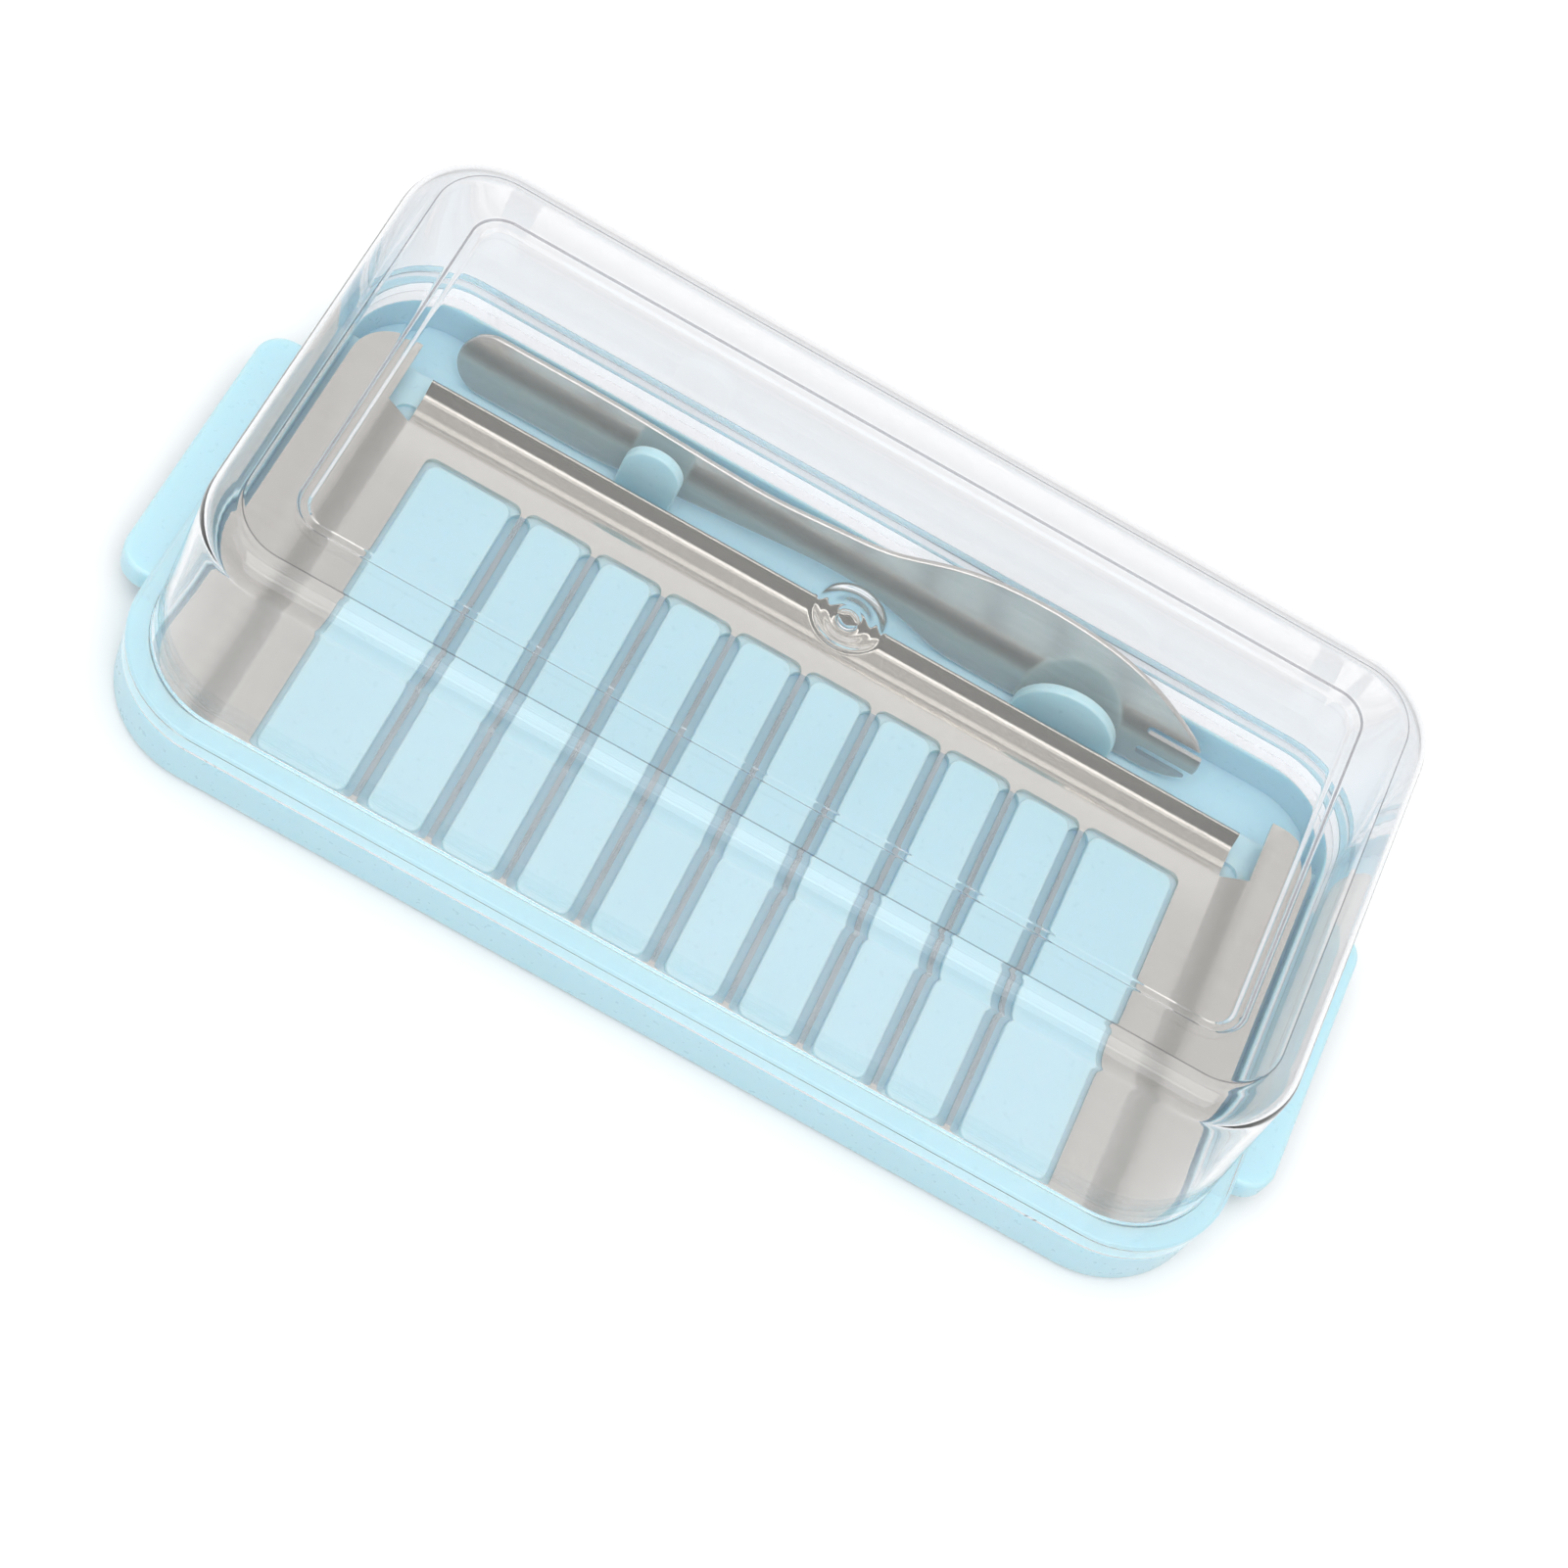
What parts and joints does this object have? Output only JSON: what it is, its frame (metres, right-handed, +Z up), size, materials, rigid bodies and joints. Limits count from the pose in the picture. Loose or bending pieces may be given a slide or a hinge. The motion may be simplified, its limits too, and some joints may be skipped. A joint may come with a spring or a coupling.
{
  "type": "butter slicer",
  "caption": "Lidded butter box: light-blue tray, clear lid, steel slicing frame with cross blades that cuts a butter block into slices, and a butter knife stood in a trough.",
  "frame": {"origin": "centre of the tray's underside, on the table", "axes": "+X along the box's long side, +Y towards the knife trough at the back, +Z up, out of the table"},
  "size_m": [0.19, 0.0946, 0.05],
  "materials": {
    "blue_plastic": "glossy light-blue moulded plastic",
    "clear_plastic": "clear transparent moulded plastic, glossy on both sides",
    "polished_steel": "polished stainless steel sheet"
  },
  "bodies": {
    "tray": {"base_tray": "blue_plastic"},
    "cover": {"lid": "clear_plastic"},
    "slicing_frame": {"cutter_frame": "polished_steel", "blade_1": "polished_steel", "blade_2": "polished_steel", "blade_3": "polished_steel", "blade_4": "polished_steel", "blade_5": "polished_steel", "blade_6": "polished_steel", "blade_7": "polished_steel", "blade_8": "polished_steel", "blade_9": "polished_steel"},
    "knife": {"butter_knife": "polished_steel"}
  },
  "joints": [
    {"name": "lid_lift", "type": "slide", "parent": "tray", "child": "cover", "axis": [0, 0, 1], "range_m": [0, 0.08]},
    {"name": "frame_lift", "type": "slide", "parent": "tray", "child": "slicing_frame", "axis": [0, 0, 1], "range_m": [0, 0.04]},
    {"name": "knife_lift", "type": "slide", "parent": "tray", "child": "knife", "axis": [0, 0, 1], "range_m": [0, 0.024]}
  ],
  "couplings": [
    {"joint": "frame_lift", "follows": "lid_lift", "ratio": 0.5},
    {"joint": "knife_lift", "follows": "lid_lift", "ratio": 0.3}
  ]
}
